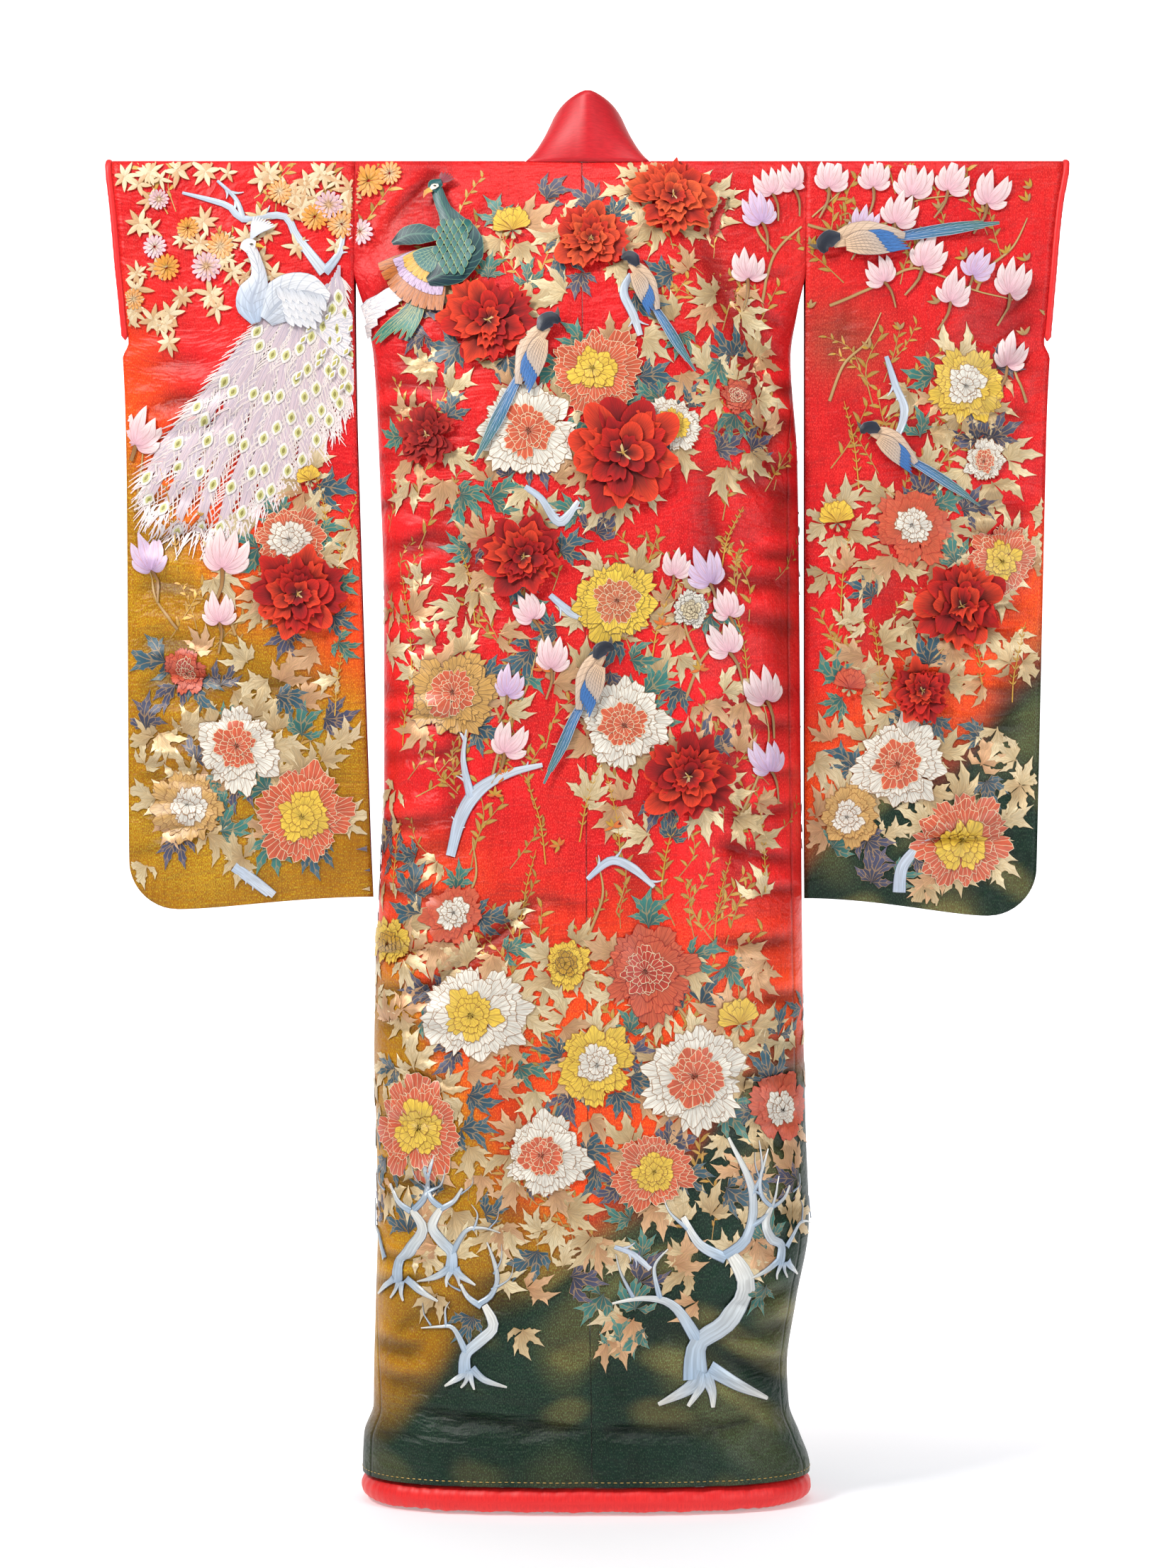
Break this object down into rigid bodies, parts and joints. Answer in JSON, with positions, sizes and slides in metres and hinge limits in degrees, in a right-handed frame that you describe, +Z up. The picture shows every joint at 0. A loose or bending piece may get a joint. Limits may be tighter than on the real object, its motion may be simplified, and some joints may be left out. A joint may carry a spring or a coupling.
{
  "type": "uchikake wedding kimono",
  "caption": "Long open over-robe with square hanging sleeves, a standing back collar and a padded hem roll, filled out hollow as worn.",
  "frame": {"origin": "middle of the back neck seam, where the wearer's nape and shoulders hold the robe", "axes": "+Z up; +X to the right of the robe seen from behind; -Y is the back, the figured display side; +Y is the open front"},
  "size_m": [1.3193, 0.253, 1.9225],
  "materials": {
    "figured_silk": "red silk with a fine gold glitter weave, shaded to ochre and dark green, embroidered all over",
    "plain_silk": "plain red silk with a faint weave",
    "roll_silk": "vermilion silk drawn over wadding, wrinkled across"
  },
  "bodies": {
    "root": {"body_left": "figured_silk", "body_right": "figured_silk", "okumi_left": "figured_silk", "okumi_right": "figured_silk", "sleeve_left": "figured_silk", "sleeve_right": "figured_silk", "collar": "plain_silk", "hem_roll": "roll_silk", "cuff_roll_left": "roll_silk", "cuff_roll_right": "roll_silk"}
  },
  "joints": []
}
